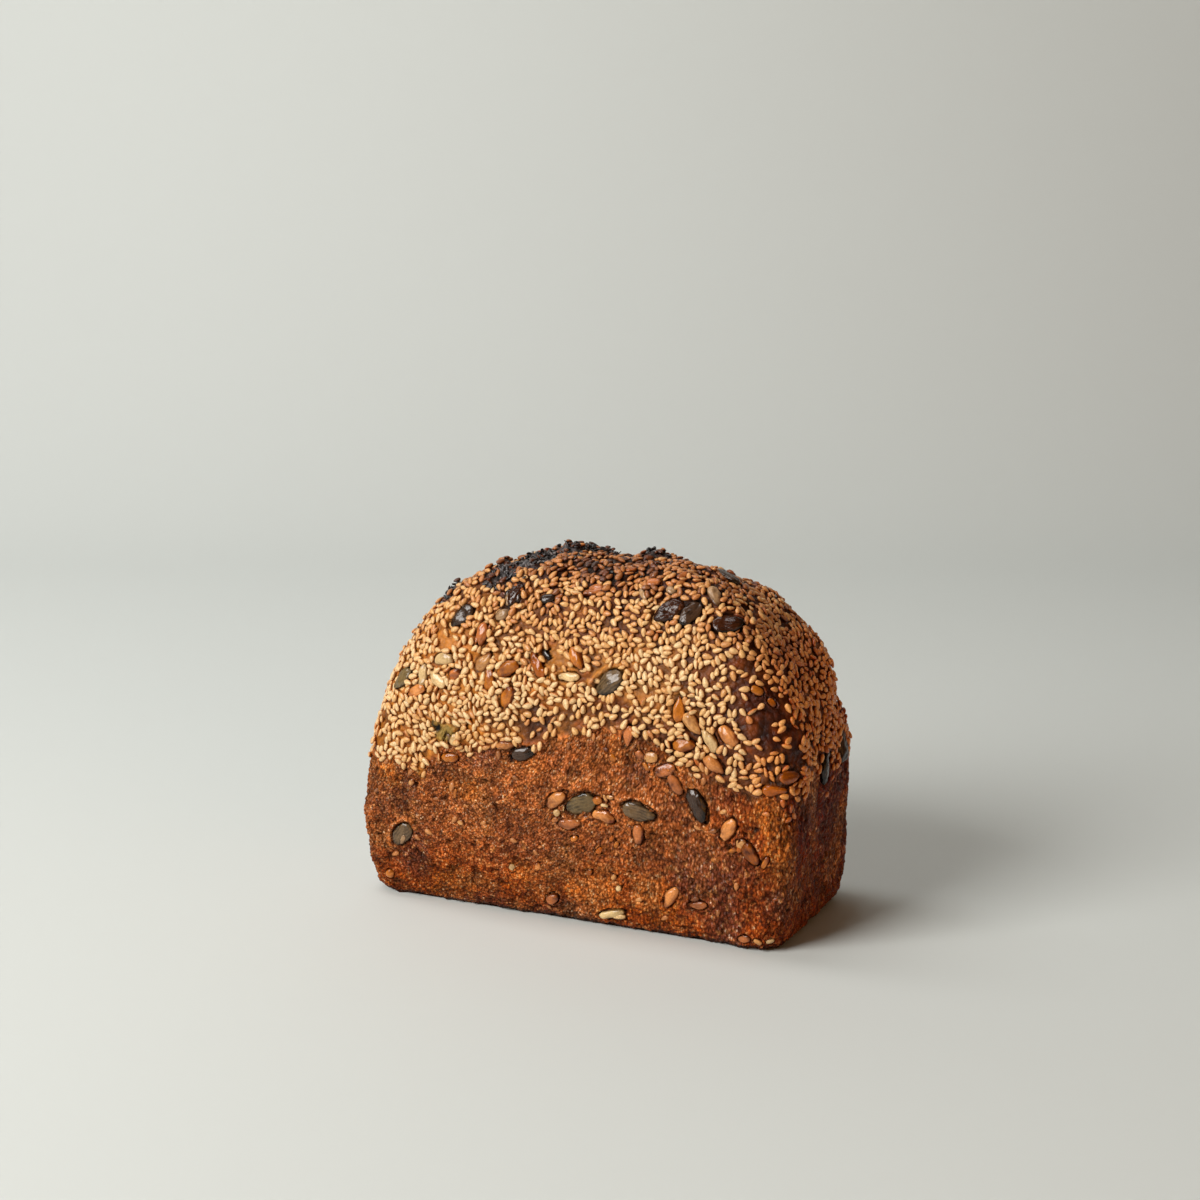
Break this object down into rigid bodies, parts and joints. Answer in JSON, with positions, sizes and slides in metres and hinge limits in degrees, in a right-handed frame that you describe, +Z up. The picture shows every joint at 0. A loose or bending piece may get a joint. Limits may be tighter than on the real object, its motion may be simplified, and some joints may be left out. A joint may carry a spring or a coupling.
{
  "type": "sourdough tin loaf",
  "caption": "Tall sourdough tin loaf with sloping sides, a domed seeded top with a charred crown, and a flat base.",
  "frame": {"origin": "centre of the bounding box's bottom face, on the plane that the loaf rests on", "axes": "+Z up, X along the loaf's long side, -Y towards the long side that the picture shows"},
  "size_m": [0.1824, 0.0854, 0.1363],
  "materials": {
    "baked_crust": "browned bread crust, matte, with seeds baked into it"
  },
  "bodies": {
    "root": {"tin_loaf": "baked_crust"}
  },
  "joints": []
}
